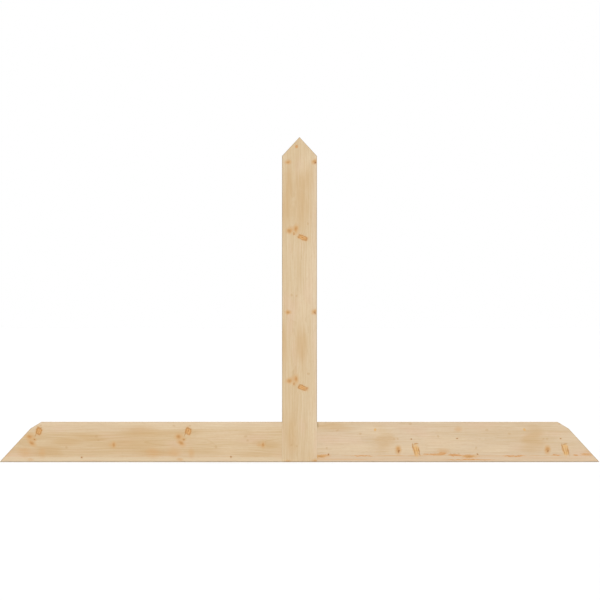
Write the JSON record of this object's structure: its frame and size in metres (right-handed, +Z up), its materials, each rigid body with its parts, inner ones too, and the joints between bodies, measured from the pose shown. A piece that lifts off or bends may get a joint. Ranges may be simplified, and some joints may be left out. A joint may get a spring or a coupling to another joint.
{
  "type": "timber gable bracket",
  "caption": "Bare softwood gable bracket: a post with a pointed head stands between the two mitred arms of a level chord. It trims the peak of a gable.",
  "frame": {"origin": "middle of the underside, under the king post and halfway from front to back", "axes": "+X along the chord to the right as seen from the front, +Y to the back, where the gable wall is, +Z up the post"},
  "size_m": [1.524, 0.0888, 0.8255],
  "materials": {
    "bare_softwood": "planed and sanded, no coating"
  },
  "bodies": {
    "root": {"king_post": "bare_softwood", "left_arm": "bare_softwood", "right_arm": "bare_softwood"}
  },
  "joints": []
}
